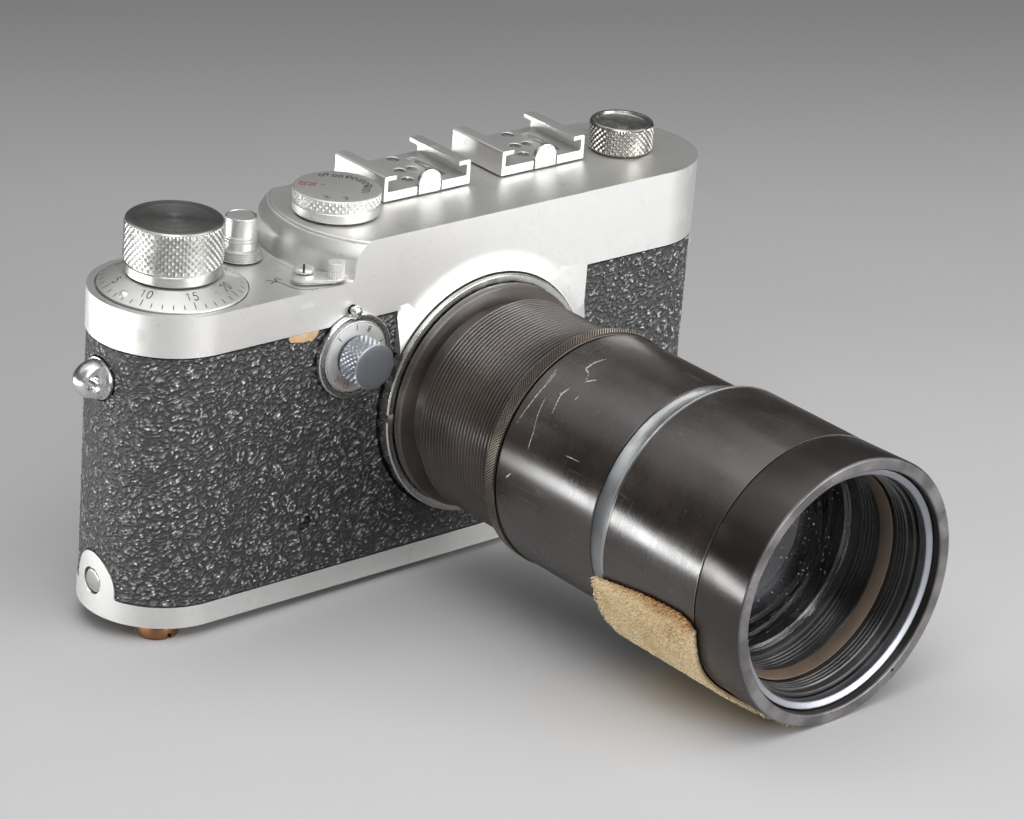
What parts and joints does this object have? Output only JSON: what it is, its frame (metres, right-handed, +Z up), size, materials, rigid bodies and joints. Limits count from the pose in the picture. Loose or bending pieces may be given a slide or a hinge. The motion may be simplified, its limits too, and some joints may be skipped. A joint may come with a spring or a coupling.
{
  "type": "35 mm camera with long tube lens",
  "caption": "Chrome and black-skinned 35 mm film camera without viewfinder, two accessory shoes on top, long tube lens that turns to focus, opening base plate.",
  "frame": {"origin": "centre of the bounding box at its lowest point, under the brass stud in the base plate", "axes": "+X along the body towards the rewind knob, -Y out of the lens, +Z up through the top cover"},
  "size_m": [0.146, 0.1298, 0.0771],
  "materials": {
    "satin_chrome": "satin chrome plating on brass",
    "bright_chrome": "polished chrome plating",
    "steel": "plain machined steel",
    "brass": "bare brass",
    "leather": "coarse pebbled black skin",
    "black_casting": "black painted casting",
    "black_enamel": "black enamel",
    "black_barrel": "dark brown-black finish, worn bright at the edges",
    "bare_band": "turned band worn to bare metal",
    "brown_paint": "flat brown paint",
    "curtain_cloth": "rubberised black silk",
    "loop_cloth": "worn tan loop cloth",
    "glass": "clear coated lens glass"
  },
  "bodies": {
    "camera_body": {"body_shell": "black_casting", "leather_cover": "leather", "top_cover": "satin_chrome", "chassis_plate": "steel", "shutter_crate": "steel", "light_tunnel": "black_enamel", "film_gate": "black_enamel", "pressure_plate": "black_enamel", "pressure_leaf": "steel", "first_curtain": "curtain_cloth", "second_curtain": "curtain_cloth", "release_collar": "satin_chrome", "release_spring": "steel", "lever_screw": "bright_chrome", "slow_plate": "bright_chrome", "slow_train": "brass", "shoe_left": "satin_chrome", "shoe_left_tongue": "bright_chrome", "shoe_right": "satin_chrome", "shoe_right_tongue": "bright_chrome", "strap_lug_left": "bright_chrome", "strap_lug_right": "bright_chrome", "base_hinge_pin": "bright_chrome", "body_screw": "black_enamel", "mount_flange": "bright_chrome", "lens_adapter": "black_barrel"},
    "winder": {"wind_knob": "satin_chrome", "wind_shaft": "steel", "take_up_spool": "black_casting"},
    "counter": {"counter_dial": "satin_chrome"},
    "film_sprocket": {"sprocket": "steel"},
    "release": {"release_button": "bright_chrome"},
    "lever": {"rewind_lever": "satin_chrome"},
    "drum": {"speed_spindle": "steel", "shutter_drum": "brass"},
    "roller_one": {"first_roller": "brass"},
    "roller_two": {"second_roller": "brass"},
    "speed_lift": {"speed_sleeve": "steel"},
    "speed_knob": {"speed_dial": "satin_chrome"},
    "slow_knob_body": {"slow_disc": "satin_chrome", "slow_knob": "bright_chrome"},
    "slow_lock": {"slow_lock_button": "bright_chrome"},
    "rewind_axle": {"rewind_shaft": "steel"},
    "rewind_head": {"rewind_knob": "satin_chrome"},
    "base": {"base_plate": "satin_chrome", "tripod_bush": "bright_chrome", "brass_stud": "brass"},
    "key": {"lock_key": "satin_chrome"},
    "bail": {"lock_bail": "bright_chrome"},
    "lens_slide": {"lens_cell": "black_barrel", "front_glass": "glass", "rear_glass": "glass", "spacer_ring": "brown_paint"},
    "lens_barrel": {"focus_ring": "black_barrel", "barrel_rear": "black_barrel", "step_ring": "bare_band", "barrel_front": "black_barrel", "front_ring": "black_barrel", "front_retainer": "steel", "loop_patch": "loop_cloth"}
  },
  "joints": [
    {"name": "wind_turn", "type": "hinge", "parent": "camera_body", "child": "winder", "pos_m": [-0.0527, 0.04977, 0.0668], "axis": [0, 0, 1], "continuous": true},
    {"name": "counter_turn", "type": "hinge", "parent": "camera_body", "child": "counter", "pos_m": [-0.0527, 0.04977, 0.0648], "axis": [0, 0, 1], "continuous": true},
    {"name": "sprocket_turn", "type": "hinge", "parent": "camera_body", "child": "film_sprocket", "pos_m": [-0.0345, 0.05448, 0.0359], "axis": [0, 0, 1], "continuous": true},
    {"name": "release_press", "type": "slide", "parent": "camera_body", "child": "release", "axis": [0, 0, -1], "range_m": [0, 0.0022], "stiffness_N_per_m": 600, "springref_m": -0.001, "deforming": ["release_spring"]},
    {"name": "lever_swing", "type": "hinge", "parent": "camera_body", "child": "lever", "pos_m": [-0.0312, 0.03948, 0.0648], "axis": [0, 0, -1], "range_deg": [0, 75]},
    {"name": "drum_turn", "type": "hinge", "parent": "camera_body", "child": "drum", "pos_m": [-0.0165, 0.04977, 0.0328], "axis": [0, 0, 1], "range_deg": [0, 340]},
    {"name": "roller_one_turn", "type": "hinge", "parent": "camera_body", "child": "roller_one", "pos_m": [0.0305, 0.05267, 0.0328], "axis": [0, 0, 1], "range_deg": [0, 680]},
    {"name": "roller_two_turn", "type": "hinge", "parent": "camera_body", "child": "roller_two", "pos_m": [0.0366, 0.05267, 0.0328], "axis": [0, 0, 1], "range_deg": [0, 680]},
    {"name": "speed_lift", "type": "slide", "parent": "drum", "child": "speed_lift", "axis": [0, 0, 1], "range_m": [0, 0.002], "stiffness_N_per_m": 500, "springref_m": -0.0015},
    {"name": "speed_turn", "type": "hinge", "parent": "speed_lift", "child": "speed_knob", "pos_m": [-0.0165, 0.04977, 0.0728], "axis": [0, 0, 1], "range_deg": [0, 290]},
    {"name": "slow_turn", "type": "hinge", "parent": "camera_body", "child": "slow_knob_body", "pos_m": [-0.0229, 0.03177, 0.0497], "axis": [0, -1, 0], "range_deg": [0, 250]},
    {"name": "slow_lock_press", "type": "slide", "parent": "camera_body", "child": "slow_lock", "axis": [0, 1, 0], "range_m": [0, 0.0008], "stiffness_N_per_m": 500, "springref_m": -0.0006},
    {"name": "rewind_turn", "type": "hinge", "parent": "camera_body", "child": "rewind_axle", "pos_m": [0.0527, 0.04977, 0.0628], "axis": [0, 0, 1], "continuous": true},
    {"name": "rewind_pull", "type": "slide", "parent": "rewind_axle", "child": "rewind_head", "axis": [0, 0, 1], "range_m": [0, 0.008]},
    {"name": "base_hinge", "type": "hinge", "parent": "camera_body", "child": "base", "pos_m": [-0.068, 0.04977, 0.0148], "axis": [0, 1, 0], "range_deg": [0, 75]},
    {"name": "key_turn", "type": "hinge", "parent": "base", "child": "key", "pos_m": [0.0527, 0.04977, 0.0028], "axis": [0, 0, -1], "range_deg": [0, 180]},
    {"name": "bail_flip", "type": "hinge", "parent": "key", "child": "bail", "pos_m": [0.0527, 0.04977, 0.00175], "axis": [-1, 0, 0], "range_deg": [0, 90]},
    {"name": "focus_slide", "type": "slide", "parent": "camera_body", "child": "lens_slide", "axis": [0, -1, 0], "range_m": [-0.0035, 0.0035]},
    {"name": "barrel_turn", "type": "hinge", "parent": "lens_slide", "child": "lens_barrel", "pos_m": [0.0081, -0.03022, 0.0359], "axis": [0, -1, 0], "range_deg": [-1440, 1440]}
  ],
  "couplings": [
    {"joint": "counter_turn", "follows": "wind_turn", "ratio": -0.025},
    {"joint": "sprocket_turn", "follows": "wind_turn", "ratio": -1},
    {"joint": "roller_one_turn", "follows": "drum_turn", "ratio": 2},
    {"joint": "roller_two_turn", "follows": "drum_turn", "ratio": 2},
    {"joint": "focus_slide", "follows": "barrel_turn", "m_per_rad": 0.00013528}
  ]
}
